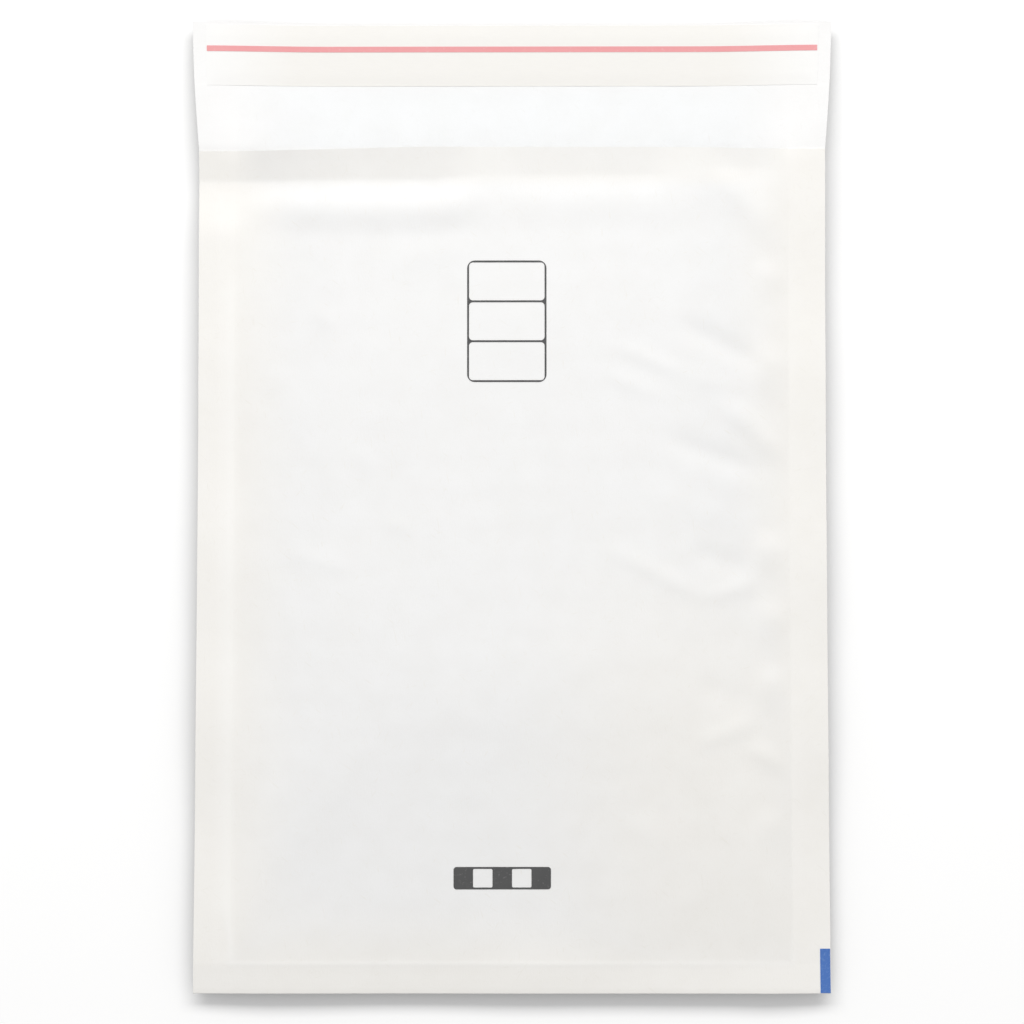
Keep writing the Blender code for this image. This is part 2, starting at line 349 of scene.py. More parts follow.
# %% [markdown]
# ## The mouth
#
# The liner stops short of the lip. Its welded edge lifts the paper into a ridge, and the bare
# collar beyond it folds down behind the ridge and climbs again to the lip. In the photograph this
# is a dark band under the lip and a bright slope below it. The band is wide and deep at the
# left, weaker in the middle and small at the right, so its depth and width are curves over x.

# %% The rule of the collar
RIDGE_TO_FOLD = 0.0074
FOOT_TO_RIDGE = 0.0080
COLLAR_WIDTH = [
    (-0.022, 0.0088), (-0.010, 0.0074), (0.040, 0.0072), (0.056, 0.0050),
]
COLLAR_DEPTH = [
    (-0.075, 0.00050), (-0.054, 0.00020), (-0.020, 0.00020), (-0.007, 0.00020), (0.004, 0.00035),
    (0.034, 0.00035), (0.046, 0.00005), (0.060, 0.00025), (0.075, 0.00025),
]
LIP_RISE = [
    (-0.075, 0.00100), (-0.054, 0.00135), (-0.024, 0.00125), (-0.006, 0.00020), (0.006, 0.00035),
    (0.034, 0.00035), (0.046, 0.00000), (0.075, 0.00010),
]
RIDGE_HEIGHT = [
    (-0.080, 0.00000), (-0.068, 0.00040), (-0.054, 0.00072), (-0.018, 0.00074),
    (-0.004, 0.00014), (0.006, 0.00022), (0.040, 0.00022), (0.052, 0.00010),
]
MOUTH_SINK = 0.0009
MOUTH_RUN = 0.060


def collar_relief(x, y):
    """How the collar and the liner's edge lift and lower the front panel below the lip."""
    width = through(x, COLLAR_WIDTH)
    depth = through(x, COLLAR_DEPTH)
    ridge = through(x, RIDGE_HEIGHT)
    fold_y = LIP_Y - width
    ridge_y = fold_y - RIDGE_TO_FOLD
    up = ridge * ease(y - (ridge_y - FOOT_TO_RIDGE), FOOT_TO_RIDGE)
    down = (ridge + depth) * ease(y - ridge_y, RIDGE_TO_FOLD)
    climb = (through(x, LIP_RISE) + depth) * np.clip((y - fold_y) / width, 0.0, 1.0)
    return up - down + climb - MOUTH_SINK * ease(y - (LIP_Y - MOUTH_RUN), MOUTH_RUN)


# %% [markdown]
# The same fold runs on across the left margin, where both plies dip together and climb to the
# flap. The bottom margin hangs a little towards its fold, and the side margins come down towards
# the bottom corners. On the flap only the side edges stay raised, and its fold arches a little.

# %% The rule of the margins
NECK_DIP = 0.0014
NECK_FOLD_Y = LIP_Y - 0.0088
NECK_RUN = 0.016
NECK_TO_RIGHT = (-0.070, 0.030)
BOTTOM_HANG = [
    (-0.075, 0.0005), (-0.030, 0.0007), (0.016, 0.0007), (0.050, 0.0002), (0.080, -0.0003),
]
LOW_SIDES = [
    (-0.085, 0.0006), (-0.065, 0.0001), (-0.045, 0.0), (0.045, 0.0), (0.065, 0.0002), (0.085, 0.0012),
]
LOW_DOWN = (0.045, 0.040)
TIP_LIFT = 0.75
FLAP_ARCH = 0.0009
ARCH_RUN = 0.011
ARCH_TO_LIP = 0.005
ARCH_FALL = 0.025
CURL_RUN = 0.036
FLAP_START = (LIP_Y - 0.004, 0.016)
MARGIN_WAVES = (5, 0.060, 0.00022)


def margin_relief(x, y):
    """Lifts and dips that both plies share, strongest at the glued edges."""
    below = 1 - ease(NECK_FOLD_Y - y, NECK_RUN)
    above = 1 - np.clip((y - NECK_FOLD_Y) / (LIP_Y - NECK_FOLD_Y), 0.0, 1.0)
    left = 1 - step(x, NECK_TO_RIGHT)
    dip = NECK_DIP * np.where(y < NECK_FOLD_Y, below, above) * left
    hang = through(x, BOTTOM_HANG) * np.clip((PAD_BOTTOM_Y - y) / BOTTOM_MARGIN, 0.0, 1.0)
    low_side = through(x, LOW_SIDES) * step(-y, LOW_DOWN)
    return waves(x, y, *MARGIN_WAVES) - dip - hang - low_side


def raised(x, y):
    """The share of the seams' height: 1 at the glued edges and 0 where the sheet lies flat."""
    on_body = 1 - swell(inside(x, y, BACK_RUNS), 1.0)
    on_flap = 1 - ease(HALF_WIDTH - np.abs(x), CURL_RUN)
    return on_body + (on_flap - on_body) * step(y, FLAP_START)


def table_side(x, y):
    """The underside that carries the pillow: on the table, raised at the glued edges."""
    flattened = 1 - (1 - TIP_LIFT) * ease(y - LIP_Y, FLAP_LENGTH)
    return np.maximum((SEAM_HEIGHT + margin_relief(x, y)) * raised(x, y) * flattened, 0.0)


def back_face(x, y):
    """The underside of the back panel and of the flap, which arches a little at its fold."""
    arch_y = LIP_Y - ARCH_TO_LIP
    arch = ease(y - (arch_y - ARCH_RUN), ARCH_RUN) * (1 - ease(y - arch_y, ARCH_FALL))
    return table_side(x, y) + FLAP_ARCH * arch * (1 - raised(x, y))


# %% [markdown]
# ## Soft folds
#
# Handling has left shallow folds in the front panel: a fan of them at the upper right, a row of
# puckers where the paper meets the right seam, and a round fold over the liner's upper right
# corner. A fold is a line with a width and a height, and a pucker a lobe with its top, its reach
# and its height, all in millimetres.

# %% The folds of the front panel
MM = 0.001
SOFT_FOLDS = [
    ((28, 43), (47, 35), 2.0, 0.26), ((24, 36), (41, 29), 2.2, 0.20), ((45, 49), (67, 38), 3.2, -0.52),
    ((47, 35), (62, 31), 2.4, 0.16), ((57, 29), (74, 12), 3.0, 0.66), ((42, 18), (68, 9), 3.0, -0.44),
    ((48, -12), (64, -16), 3.0, -0.34), ((26, -11), (52, -24), 2.4, 0.26), ((52, -24), (66, -20), 2.2, 0.26),
    ((50, -47), (64, -52), 3.6, -0.22), ((49, -63), (65, -57), 2.6, 0.28), ((63, -63), (74, -70), 2.4, 0.36),
    ((36, 4), (60, -3), 3.2, 0.12), ((52, 92), (73, 71), 4.2, 0.52), ((-3, 32), (5, -7), 3.6, 0.14),
    ((12, -34), (19, -47), 3.4, 0.14), ((-54, 52), (-47, 48), 2.2, 0.14), ((-41, 16), (-37, 8), 2.6, 0.12),
    ((-35, -4), (-26, -6), 2.0, 0.12), ((-60, -12), (-42, -17), 2.4, 0.15),
    ((-40, -62), (-49, -82), 3.0, 0.16), ((-66, 40), (-52, 20), 5.0, 0.12),
    ((30, -84), (48, -92), 4.0, 0.12), ((-20, -50), (-8, -58), 4.0, 0.10), ((-36, 65), (-10, 68), 4.0, 0.18),
]
PUCKERS = [(59, 9, 0.34), (35, 12, 0.64), (-14, 10, 0.60), (-32, 10, 0.58), (-50, 11, 0.58), (-87, 9, 0.26)]
PUCKER_LENGTH = 12.0
PUCKER_SLANT = 3.0
PUCKER_FADE = 0.6
PUCKER_RISE = (-0.90, 1.10)
PUCKER_FALL = (0.10, 0.65)
FOLD_OVERRUN = 0.15
FOLD_FADE = 0.5


def soft_fold(x, y, start, end, width, height):
    """A rounded ridge, or a dent if the height is below 0, along a straight line."""
    run = np.array(end) - np.array(start)
    length = math.hypot(*run)
    along = ((x - start[0]) * run[0] + (y - start[1]) * run[1]) / length**2
    across = ((x - start[0]) * run[1] - (y - start[1]) * run[0]) / length
    fade = ease(along + FOLD_OVERRUN, FOLD_FADE) * ease(1 + FOLD_OVERRUN - along, FOLD_FADE)
    return height * bump(across, width) * fade


def pucker(x, y, top, reach, height):
    """A lobe at the right seam: a long slope up, and a short steep end towards the mouth."""
    from_seam = x - PAD_HALF / MM
    up = (y - top + PUCKER_SLANT * from_seam / PUCKER_LENGTH) / reach
    near_seam = ease(from_seam + PUCKER_LENGTH, PUCKER_FADE * PUCKER_LENGTH)
    return height * step(up, PUCKER_RISE) * (1 - step(up, PUCKER_FALL)) * near_seam


def fold_relief(x, y):
    """All the soft folds and the puckers of the right seam together, in metres."""
    total = np.zeros(np.broadcast(x, y).shape)
    for start, end, width, height in SOFT_FOLDS:
        total += soft_fold(x / MM, y / MM, start, end, width, height)
    for top, reach, height in PUCKERS:
        total += pucker(x / MM, y / MM, top, reach, height)
    return total * MM


SEAM_RIDGE = 0.00008
SEAM_RIDGE_WIDTH = 0.0007
SEAM_OUT = 0.0016
SEAM_AT_BOTTOM = 0.75
SEAM_LOST_AT_RIGHT = 0.85
SEAM_LOST_AT_MOUTH = 0.75
SEAM_SPREAD = 1.2
OFF_BOTTOM = (PAD_BOTTOM_Y + 0.001, 0.004)
AT_SIDE = (PAD_BOTTOM_Y + 0.004, 0.014)
AT_MOUTH = (LINER_TOP_Y - 0.034, 0.022)
AT_RIGHT = (0.0, 0.03)
SETTLE = 0.007
PANEL_WAVES = (11, 0.045, 0.00010)


def seam_line(x, y, width):
    """The line pressed round the padding: narrow at the bottom, and lost at the right and the mouth."""
    at_side = step(y, AT_SIDE)
    lost = SEAM_LOST_AT_RIGHT * step(x, AT_RIGHT)
    strength = SEAM_AT_BOTTOM + step(y, OFF_BOTTOM) * (1 - SEAM_AT_BOTTOM - lost)
    strength *= 1 - SEAM_LOST_AT_MOUTH * step(y, AT_MOUTH)
    return strength * bump(inside(x, y) + SEAM_OUT * at_side, width * (1 + SEAM_SPREAD * at_side))


def front_face(x, y):
    """The outside of the front panel."""
    depth = inside(x, y)
    held = swell(depth, SETTLE)
    relief = collar_relief(x, y) * swell(depth, 2 * SETTLE)
    relief += fold_relief(x, y) * held
    relief += (waves(x, y, *PANEL_WAVES) + QUILT_HEIGHT * quilt(x, y)) * held
    relief += SEAM_RIDGE * seam_line(x, y, SEAM_RIDGE_WIDTH)
    return table_side(x, y) + PLIES + SPACE * front_swell(x, y) + relief


middle = front_face(np.zeros(1), np.zeros(1))[0]
print("height at the middle, mm:", round(1000 * middle, 2))

# %% [markdown]
# ## Meshes from rules
#
# The paper and the film are each one strip, folded once at the bottom. A cloth simulation could
# fold them, but it needs minutes and drifts from the model. A grid over the unrolled strip is
# exact, so one function builds both: rows down the front, round the fold and up the back.

# %% Helpers for grids
FINE_STEP = 0.0004
FINE_LINES = 3
SMOOTH_ANGLE = 40
FOLD_TURNS = (60, 30, 0, -30, -60)


def grid_lines(start, end, step, fine_at=()):
    """Even grid lines from start to end, closer at each fine place, and none of them twice."""
    even = np.linspace(start, end, round((end - start) / step) + 1)
    reach = (FINE_LINES + 0.6) * FINE_STEP
    kept = [value for value in even if all(abs(value - place) > reach for place in fine_at)]
    for place in fine_at:
        kept += [place + k * FINE_STEP for k in range(-FINE_LINES, FINE_LINES + 1)]
    return np.unique(np.round(kept, 7))


def grid_object(name, x, y, z, values=None):
    """An object whose points are the cells of three equal arrays, with named point values."""
    rows, columns = x.shape
    index = np.arange(rows * columns).reshape(rows, columns)
    corners = (index[:-1, :-1], index[1:, :-1], index[1:, 1:], index[:-1, 1:])
    faces = np.stack([corner.ravel() for corner in corners], axis=1)
    points = np.stack([x.ravel(), y.ravel(), z.ravel()], axis=1)
    mesh = bpy.data.meshes.new(name)
    mesh.from_pydata(points.tolist(), [], faces.tolist())
    for key, value in (values or {}).items():
        attribute = mesh.attributes.new(key, "FLOAT", "POINT")
        attribute.data.foreach_set("value", np.asarray(value, dtype=np.float32).ravel())
    return add_object(name, mesh)


def made_plain(made):
    """Turns an object's modifiers into a plain mesh and sets its shading."""
    seen = made.evaluated_get(bpy.context.evaluated_depsgraph_get())
    mesh = bpy.data.meshes.new_from_object(seen)
    made.modifiers.clear()
    old = made.data
    made.data = mesh
    bpy.data.meshes.remove(old)
    mesh.name = made.name
    mesh.shade_smooth()
    mesh.set_sharp_from_angle(angle=math.radians(SMOOTH_ANGLE))
    return made


def thicken(made, thickness, offset):
    """Gives a surface its thickness: offset -1 grows it inwards and +1 outwards."""
    solidify = made.modifiers.new("thickness", "SOLIDIFY")
    solidify.thickness = thickness
    solidify.offset = offset
    solidify.use_rim = True
    solidify.material_offset = 1
    return solidify


def folded_strip(name, columns, front_rows, back_rows, upper, lower, values, end_shift=None):
    """One strip, folded at its lowest row. front_rows run down and back_rows run up."""
    def row_at(y, face):
        """The flat y and the height of one row."""
        level = np.full_like(columns, y)
        return level, face(columns, level)

    fold_y = front_rows[-1]
    rows = [row_at(y, upper) for y in front_rows]
    low = row_at(fold_y, lower)[1]
    radius = (rows[-1][1] - low) / 2
    for degrees in FOLD_TURNS:
        turn = math.radians(degrees)
        rows.append((fold_y - radius * math.cos(turn), low + radius + radius * math.sin(turn)))
    rows += [row_at(y, lower) for y in back_rows]
    y = np.stack([row[0] for row in rows])
    z = np.stack([row[1] for row in rows])
    x = np.broadcast_to(columns, y.shape)
    on_front = np.zeros(y.shape)
    on_front[: len(front_rows)] = 1.0
    point_values = {key: rule(x, y) for key, rule in values.items()}
    if end_shift is not None:
        y = y + end_shift(x, y) * on_front
    return grid_object(name, x * drawn_in(y), y, z, point_values)


print("turns of the fold, degrees:", FOLD_TURNS)

# %% [markdown]
# ## The paper
#
# One sheet is the front panel, the back panel and the flap. Its grid is close where the photograph
# shows a thin line: along the seams of the padding and across the flap. Two point values go with
# it for the material: how much a place takes the cream of the glued margin, which also paints bounce
# light into the lower right corner, and how much it is creased, which sets a painted highlight.

# %% Fold the sheet
PAPER_STEP = 0.00142
BACK_STEP = 0.0028
SEAM_LINE_WIDTH = 0.0009
SECOND_SEAM = 0.0040
SECOND_SEAM_SHARE = 0.25
COLLAR_CREASE_WIDTH = 0.0006
COLLAR_CREASE_END = -0.016
FLAP_CREASE_Y = TIP_Y - 0.0168
FLAP_CREASE_WIDTH = 0.0005
CREASE_SHARE = 0.6
# The lower right corner takes the margins' cream as painted bounce light.
PAINTED_BOUNCE_SHARE = 0.9
PAINTED_BOUNCE_TO_RIGHT = (-0.010, 0.060)
PAINTED_BOUNCE_DOWN = (-0.010, 0.080)
CREAMY_OFF_SEAM = (-0.004, 0.024)
CREAMY_COLLAR = 0.6
COLLAR_START = (LINER_TOP_Y, 0.004)
TIP_START = (FLAP_CREASE_Y - 0.004, 0.010)
COLLAR_STEP = 0.0007
LIP_SAG = 0.0007
SAG_TO_RIGHT = (-0.055, 0.035)
SAG_UP = (LIP_Y - 0.010, 0.010)


def margin_and_painted_bounce(x, y):
    """1 in the margins and at the flap's tip, less at the collar and at the lower right (painted bounce
    light), else 0.
    """
    # Painted bounce light: the lower right corner is tinted cream as if lit by light bounced into it.
    corner = PAINTED_BOUNCE_SHARE * step(x, PAINTED_BOUNCE_TO_RIGHT) * step(-y, PAINTED_BOUNCE_DOWN)
    glued = 1 - step(inside(x, y), CREAMY_OFF_SEAM)
    collar = CREAMY_COLLAR * step(y, COLLAR_START) * (y <= LIP_Y)
    tip = step(y, TIP_START)
    return np.maximum.reduce([glued, corner, collar, tip])


def creased(x, y):
    """How strongly a place is pressed or folded, which sets a painted highlight there."""
    seam = seam_line(x, y, SEAM_LINE_WIDTH)
    second = SECOND_SEAM_SHARE * bump(inside(x, y) + SECOND_SEAM, SEAM_LINE_WIDTH) * (x < 0)
    collar_y = LIP_Y - through(x, COLLAR_WIDTH)
    collar = bump(y - collar_y, COLLAR_CREASE_WIDTH) * (x < COLLAR_CREASE_END)
    flap = bump(y - FLAP_CREASE_Y, FLAP_CREASE_WIDTH)
    total = (seam + second) * (y < LINER_TOP_Y) + CREASE_SHARE * (collar + flap)
    return np.clip(total, 0.0, 1.0)


def sagging_lip(x, y):
    """The lip hangs a little lower at the left than at the right."""
    return -LIP_SAG * (1 - step(x, SAG_TO_RIGHT)) * step(y, SAG_UP)


seam_lines = (-PAD_HALF - SECOND_SEAM, -PAD_HALF - SEAM_OUT, PAD_HALF)
paper_columns = grid_lines(-HALF_WIDTH, HALF_WIDTH, PAPER_STEP, seam_lines)
fold_start = BOTTOM_Y + PLIES / 2
collar_start = LINER_TOP_Y - 0.001
front_rows = np.concatenate([
    grid_lines(fold_start, collar_start, PAPER_STEP, (PAD_BOTTOM_Y,)),
    grid_lines(collar_start, LIP_Y, COLLAR_STEP)[1:],
])[::-1]
back_rows = np.concatenate([
    grid_lines(fold_start, LIP_Y, BACK_STEP),
    grid_lines(LIP_Y, TIP_Y, PAPER_STEP, (FLAP_CREASE_Y,))[1:],
])
paper = folded_strip(
    "paper_sheet", paper_columns, front_rows, back_rows, front_face, back_face,
    {"margin": margin_and_painted_bounce, "crease_highlight": creased}, sagging_lip,
)
print("paper grid:", len(paper_columns), "columns and", len(front_rows) + len(back_rows), "rows")

# %% [markdown]
# White kraft paper is matt and slightly warm, with short fibres that lie mostly along the roll.
# An image could give the fibres, but a noise stretched along one axis does it at any scale. Three
# layers are mixed: clouds where the pulp is thicker, a felt of fibres, and single long fibres.
# The glued margins, the collar and the flap's tip are creamier. The same cream at the lower right is
# painted bounce light, and pressed lines get a lighter tint as a painted highlight.

# %% The paper's material
FIBRE_TURNS = (-52, -9, 31, 74)
FIBRE_SHARE = 0.32
THIN_TINT = (0.986, 0.984, 0.980, 1.0)
# Pressed lines are painted a lighter tint: a painted highlight along the seams and creases.
CREASE_HIGHLIGHT_TINT = (0.97, 0.965, 0.95, 1.0)
CREASE_HIGHLIGHT_SHARE = 0.30


def noise(tree, place, scale, detail, roughness=0.5):
    """Plain noise between 0 and 1."""
    return add_node(
        tree, "ShaderNodeTexNoise",
        {"Vector": place, "Scale": scale, "Detail": detail, "Roughness": roughness},
    ).outputs[0]


def stretched_noise(tree, place, turn, scale, detail, stretch):
    """Noise drawn out along one direction, like fibres that lie side by side."""
    turned = add_node(
        tree, "ShaderNodeMapping", {"Vector": place, "Rotation": (0.0, 0.0, math.radians(turn))}
    )
    drawn = add_node(
        tree, "ShaderNodeMapping", {"Vector": turned.outputs[0], "Scale": (stretch, 1.0, 1.0)}
    )
    return noise(tree, drawn.outputs[0], scale, detail, 0.55)


def ranged(tree, value, low, high, to_low, to_high):
    """Maps a value from one range to another and holds it there."""
    return add_node(
        tree, "ShaderNodeMapRange",
        {"Value": value, "From Min": low, "From Max": high, "To Min": to_low, "To Max": to_high},
    ).outputs[0]


def new_material(name, roughness=0.5, specular=0.5):
    """A material with a Principled shader, and the place in metres that its patterns read."""
    material = bpy.data.materials.new(name)
    material.use_nodes = True
    tree = material.node_tree
    shader = tree.nodes["Principled BSDF"]
    shader.inputs["Roughness"].default_value = roughness
    shader.inputs["Specular IOR Level"].default_value = specular
    place = add_node(tree, "ShaderNodeTexCoord").outputs["Object"]
    return material, tree, shader, place


def add_bumps(tree, shader, layers):
    """Chains bump nodes: each layer is a height from 0 to 1 and its size in metres."""
    normal = None
    for height, size in layers:
        inputs = {"Height": height, "Distance": size, "Strength": 1.0}
        if normal is not None:
            inputs["Normal"] = normal
        normal = add_node(tree, "ShaderNodeBump", inputs).outputs[0]
    tree.links.new(normal, shader.inputs["Normal"])


def dress(tree, shader, base, grain, rough_low, rough_high, layers):
    """Links a colour, a roughness that follows a grain, and the bumps."""
    tree.links.new(base, shader.inputs["Base Color"])
    tree.links.new(ranged(tree, grain, 0.3, 0.7, rough_low, rough_high), shader.inputs["Roughness"])
    add_bumps(tree, shader, layers)


def paper_material(name, centre, margin, fibre_tint, felt_size):
    """White kraft with clouds, felt, single fibres, cream margins with painted bounce light and painted
    crease highlights.
    """
    material, tree, shader, place = new_material(name, specular=0.3)
    clouds = noise(tree, place, 130.0, 4.0)
    felt = stretched_noise(tree, place, 6, 900.0, 5.0, 2.5)
    fibres = 0.0
    for turn in FIBRE_TURNS:
        drawn = stretched_noise(tree, place, turn, 250.0 + turn, 1.0, 9.0)
        single = ranged(tree, drawn, 0.70, 0.78, 0.0, 1.0)
        fibres = combined(tree, "MAXIMUM", single, fibres)
    # The margin value mixes in the cream, which at the lower right is painted bounce light. The crease value
    # paints a lighter highlight on pressed lines.
    margin_and_bounce_share = add_node(tree, "ShaderNodeAttribute", attribute_name="margin").outputs["Fac"]
    crease_highlight = add_node(tree, "ShaderNodeAttribute", attribute_name="crease_highlight").outputs["Fac"]
    base = mixed(tree, margin_and_bounce_share, centre, margin)
    cloudy = mixed(tree, ranged(tree, clouds, 0.35, 0.65, 0.0, 1.0), THIN_TINT, WHITE)
    base = mixed(tree, 1.0, base, cloudy, "MULTIPLY")
    base = mixed(tree, combined(tree, "MULTIPLY", fibres, FIBRE_SHARE), base, fibre_tint)
    base = mixed(tree, combined(tree, "MULTIPLY", crease_highlight, CREASE_HIGHLIGHT_SHARE), base, CREASE_HIGHLIGHT_TINT)
    layers = [(clouds, 0.00006), (felt, felt_size), (fibres, 0.000006)]
    dress(tree, shader, base, felt, 0.62, 0.80, layers)
    return material


# The second colour is the margins' cream, which at the lower right also serves as painted bounce light.
outside_paper = paper_material(
    "white_kraft_outside", (0.890, 0.889, 0.887, 1.0), (0.900, 0.884, 0.852, 1.0),
    (0.83, 0.805, 0.75, 1.0), 0.000020,
)
inside_paper = paper_material(
    "white_kraft_inside", (0.887, 0.897, 0.903, 1.0), (0.897, 0.893, 0.890, 1.0),
    (0.82, 0.815, 0.80, 1.0), 0.000015,
)
paper.data.materials.append(outside_paper)
paper.data.materials.append(inside_paper)
thicken(paper, PAPER, -1.0)
made_plain(paper)
print("paper faces:", len(paper.data.polygons))

# %% [markdown]
# Every piece rides on the one body of the model and stands for a plain node of it. A small helper
# says so for each piece, which keeps the three calls together.

# %% Tie a piece to the model
def tie(piece, node):
    """The piece moves with the envelope and stands for a node, which is hidden."""
    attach(piece, "root")
    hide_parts(node)
    size = [round(1000 * extent, 1) for extent in piece.dimensions]
    print(piece.name, "stands for", node, "and measures", size, "mm")


tie(paper, "outer_paper")

# %% [markdown]
# ## The liner
#
# The liner is a strip of film, folded at the bottom and welded at the sides, with its bubbles
# facing the paper. The flat film comes first. It follows the inner faces of the paper, and keeps
# a value at each point: the room that is left there for a bubble.

# %% The flat film
FILM_SHEET = 0.0001
POCKET = 0.0044
EDGE_TO_SEAM = 0.0024
WELD_WIDTH = 0.003
FILM_GAP = 0.00004
BUBBLE_CLEARANCE = 0.00012
BUBBLE_DIAMETER = 0.0098
BUBBLE_REACH = 0.0042
FILM_STEP = 0.0026
FILM_QUILT = 0.05


def film_spread(x, y):
    """Half the height of the pocket between the two layers of film."""
    pocket = POCKET * front_swell(x, y, EDGE_TO_SEAM + WELD_WIDTH)
    return (pocket + FILM_GAP) / 2


def film_middle(x, y):
    """The height halfway between the inner faces of the two panels."""
    return (back_face(x, y) + front_face(x, y)) / 2


def film_upper(x, y):
    """The layer of film below the front panel, faintly quilted."""
    return film_middle(x, y) + film_spread(x, y) * (1 + FILM_QUILT * quilt(x, y))


def film_lower(x, y):
    """The layer of film above the back panel, faintly quilted."""
    return film_middle(x, y) - film_spread(x, y) * (1 + FILM_QUILT * quilt(x, y))


def room_at(x, y):
    """The height between the film and the paper next to it."""
    to_paper = (front_face(x, y) - back_face(x, y)) / 2 - PAPER
    return to_paper - film_spread(x, y) - FILM_SHEET - BUBBLE_CLEARANCE


def bubble_room(x, y):
    """The least room over a bubble that stands here, as the paper slopes down to the seams.

    Where the bubble would reach the weld there is none.
    """
    outwards = x + np.sign(x) * BUBBLE_REACH
    least = np.minimum(np.minimum(room_at(x, y), room_at(outwards, y)), room_at(x, y - BUBBLE_REACH))
    off_weld = inside(x, y) > EDGE_TO_SEAM + WELD_WIDTH + BUBBLE_DIAMETER / 2
    return np.where(off_weld, least, 0.0)


film_half = PAD_HALF - EDGE_TO_SEAM
film_columns = grid_lines(-film_half, film_half, FILM_STEP)
film_rows = grid_lines(PAD_BOTTOM_Y + EDGE_TO_SEAM, LINER_TOP_Y, FILM_STEP)
film = folded_strip(
    "liner_film", film_columns, film_rows[::-1], film_rows[1:], film_upper, film_lower,
    {"room": bubble_room},
)
print("film grid:", len(film_columns), "columns and", 2 * len(film_rows), "rows")

# %% [markdown]
# Bubbles are the part that repeats, over 450 times, so Geometry Nodes place them. A grid
# of points is shifted into rows set half a step apart and dropped on the film by a ray. Each hit
# gets one low dome with a flat base, as high as the room there allows. The domes are thrown away
# where the weld leaves no room.

# %% The bubble tree
BUBBLE_HEIGHT = 0.0022
LEAST_ROOM = 0.0007
BUBBLE_COLUMNS = 15
BUBBLE_INPUTS = [
    ("Film", "Geometry", None), ("Pitch", "Float", BUBBLE_PITCH), ("Diameter", "Float", BUBBLE_DIAMETER),
    ("Height", "Float", BUBBLE_HEIGHT), ("Least Room", "Float", LEAST_ROOM), ("Side", "Float", 1.0),
    ("Columns", "Int", BUBBLE_COLUMNS), ("Rows", "Int", BUBBLE_ROWS),
    ("Middle Row", "Float", BUBBLE_MIDDLE_Y), ("Material", "Material", None),
]


def vector_math(tree, operation, first, second):
    """One step of arithmetic on two vectors."""
    return add_node(tree, "ShaderNodeVectorMath", {0: first, 1: second}, operation=operation).outputs[0]


bubble_tree = bpy.data.node_groups.new("bubbles_on_film", "GeometryNodeTree")
bubble_tree.interface.new_socket("Geometry", in_out="OUTPUT", socket_type="NodeSocketGeometry")
for name, kind, value in BUBBLE_INPUTS:
    socket = bubble_tree.interface.new_socket(name, in_out="INPUT", socket_type="NodeSocket" + kind)
    if value is not None:
        socket.default_value = value
start = bubble_tree.nodes.new("NodeGroupInput").outputs


def node_math(operation, first, second=0.0):
    """One step of arithmetic inside the bubble tree."""
    return combined(bubble_tree, operation, first, second)


# %% Points in staggered rows
index = bubble_tree.nodes.new("GeometryNodeInputIndex").outputs[0]
row = node_math("FLOOR", node_math("DIVIDE", index, start["Columns"]))
column = node_math("SUBTRACT", index, node_math("MULTIPLY", row, start["Columns"]))
half_columns = node_math("FLOOR", node_math("DIVIDE", start["Columns"], 2.0))
half_rows = node_math("FLOOR", node_math("DIVIDE", start["Rows"], 2.0))
row_from_middle = node_math("SUBTRACT", row, half_rows)
stagger = node_math("MULTIPLY", node_math("FLOORED_MODULO", row_from_middle, 2.0), 0.5)
across = node_math("ADD", node_math("SUBTRACT", column, half_columns), stagger)
point_x = node_math("MULTIPLY", across, start["Pitch"])
row_pitch = node_math("MULTIPLY", start["Pitch"], math.sqrt(3) / 2)
point_y = node_math("ADD", node_math("MULTIPLY", row_from_middle, row_pitch), start["Middle Row"])
point_place = add_node(bubble_tree, "ShaderNodeCombineXYZ", {0: point_x, 1: point_y, 2: 0.0}).outputs[0]
point_count = node_math("MULTIPLY", start["Columns"], start["Rows"])
points = add_node(bubble_tree, "GeometryNodePoints", {"Count": point_count, "Position": point_place})

# %% Drop the points on the film
up = add_node(bubble_tree, "ShaderNodeCombineXYZ", {2: start["Side"]}).outputs[0]
down = vector_math(bubble_tree, "MULTIPLY", up, (-1.0, -1.0, -1.0))
room_name = add_node(
    bubble_tree, "GeometryNodeInputNamedAttribute", {"Name": "room"}, data_type="FLOAT"
)
drop = add_node(
    bubble_tree, "GeometryNodeRaycast",
    {
        "Target Geometry": start["Film"], "Attribute": room_name.outputs["Attribute"],
        "Source Position": vector_math(bubble_tree, "ADD", point_place, up),
        "Ray Direction": down, "Ray Length": 3.0,
    },
    data_type="FLOAT",
)
room_here = drop.outputs["Attribute"]
roomy = add_node(
    bubble_tree, "FunctionNodeCompare", {0: room_here, 1: start["Least Room"]},
    data_type="FLOAT", operation="GREATER_THAN",
)
useful = add_node(
    bubble_tree, "FunctionNodeBooleanMath", {0: drop.outputs["Is Hit"], 1: roomy.outputs[0]},
    operation="AND",
)

# %% One dome on each point
DOME_SIDES = 12
DOME_RINGS = 6
DOME_FACES = DOME_SIDES * DOME_RINGS
DOME_BLUNTNESS = 0.6
ball = add_node(
    bubble_tree, "GeometryNodeMeshUVSphere",
    {"Segments": DOME_SIDES, "Rings": DOME_RINGS, "Radius": 1.0},
)
ball_place = add_node(
    bubble_tree, "ShaderNodeSeparateXYZ", {0: bubble_tree.nodes.new("GeometryNodeInputPosition").outputs[0]}
)
blunt = node_math("POWER", node_math("MAXIMUM", ball_place.outputs[2], 0.0), DOME_BLUNTNESS)
dome_place = add_node(
    bubble_tree, "ShaderNodeCombineXYZ", {0: ball_place.outputs[0], 1: ball_place.outputs[1], 2: blunt}
)
dome = add_node(
    bubble_tree, "GeometryNodeSetPosition",
    {"Geometry": ball.outputs[0], "Position": dome_place.outputs[0]},
)
